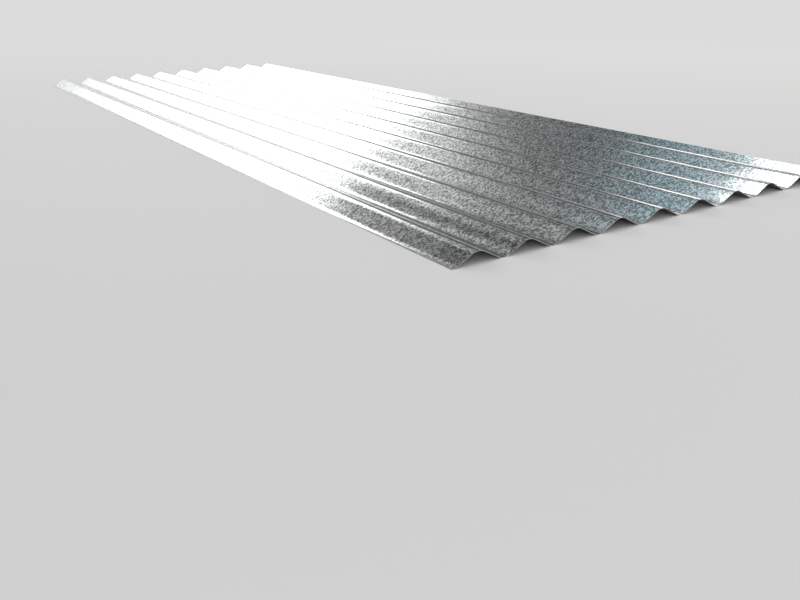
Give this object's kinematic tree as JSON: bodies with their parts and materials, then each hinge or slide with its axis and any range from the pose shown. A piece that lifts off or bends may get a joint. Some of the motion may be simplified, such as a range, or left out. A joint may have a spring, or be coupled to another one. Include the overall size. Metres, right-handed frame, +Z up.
{
  "type": "corrugated metal sheet",
  "caption": "Long galvanised steel sheet rolled into parallel round waves, for roofing, cladding and fencing.",
  "frame": {"origin": "under the middle of the sheet, in the plane of the valleys' undersides", "axes": "+X across the waves from the left edge to the right one, +Y along the waves, +Z up out of the crests"},
  "size_m": [0.714, 2.1, 0.016],
  "materials": {
    "galvanised_steel": "bright hot-dip zinc with a fine spangle"
  },
  "bodies": {
    "root": {"corrugated_sheet": "galvanised_steel"}
  },
  "joints": []
}
